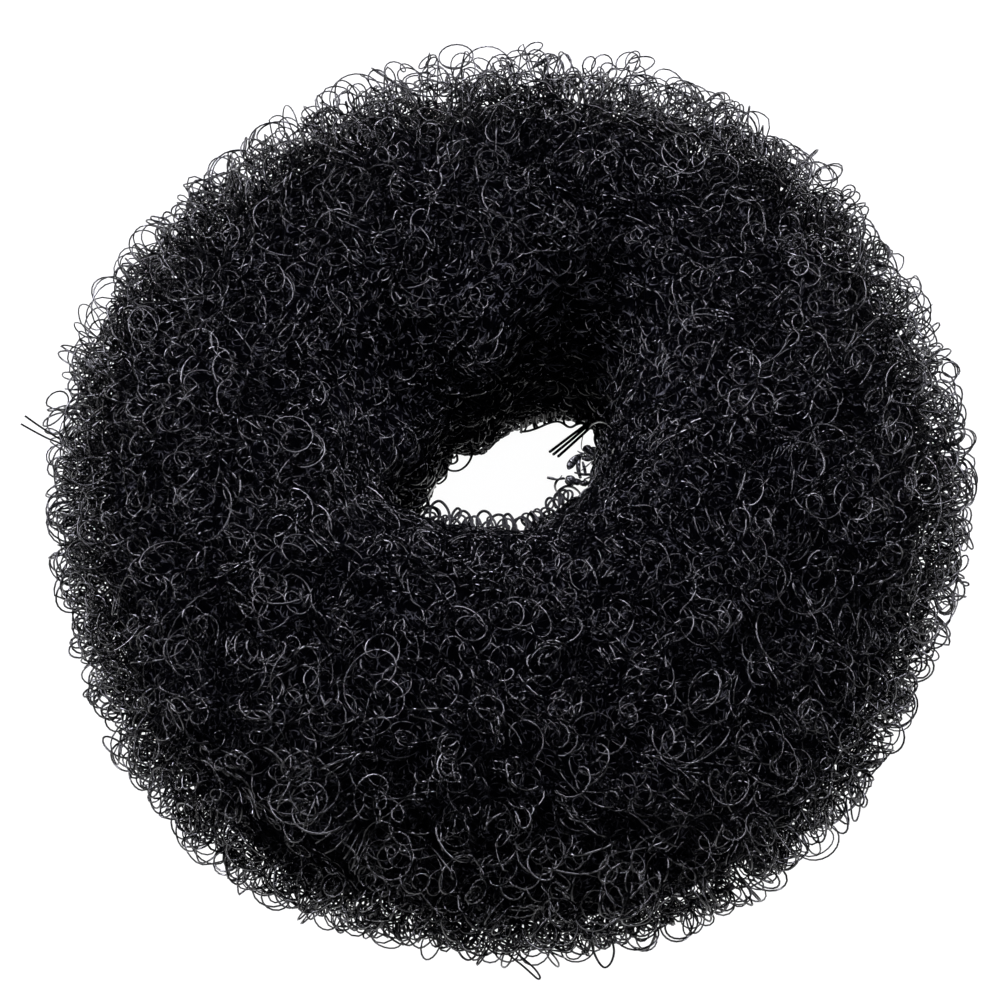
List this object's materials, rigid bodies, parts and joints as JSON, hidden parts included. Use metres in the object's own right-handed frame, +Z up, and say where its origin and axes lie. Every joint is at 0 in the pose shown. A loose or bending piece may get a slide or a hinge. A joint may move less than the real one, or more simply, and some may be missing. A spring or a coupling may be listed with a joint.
{
  "type": "hair bun ring",
  "caption": "Soft padded ring of curled mesh with a slanted passage for a ponytail, worn to fill out a rolled bun.",
  "frame": {"origin": "middle of the ring's bounding box, on the surface that the ring lies on", "axes": "+Z up through the passage, +X to the right and +Y away from the viewer as the ring lies"},
  "size_m": [0.089, 0.0924, 0.039],
  "materials": {
    "curled_mesh": "open curled nylon strands, black with a soft gloss",
    "fused_mesh": "nylon melted flat, black and shiny"
  },
  "bodies": {
    "root": {"mesh_ring": "curled_mesh", "seam_end": "fused_mesh"}
  },
  "joints": []
}
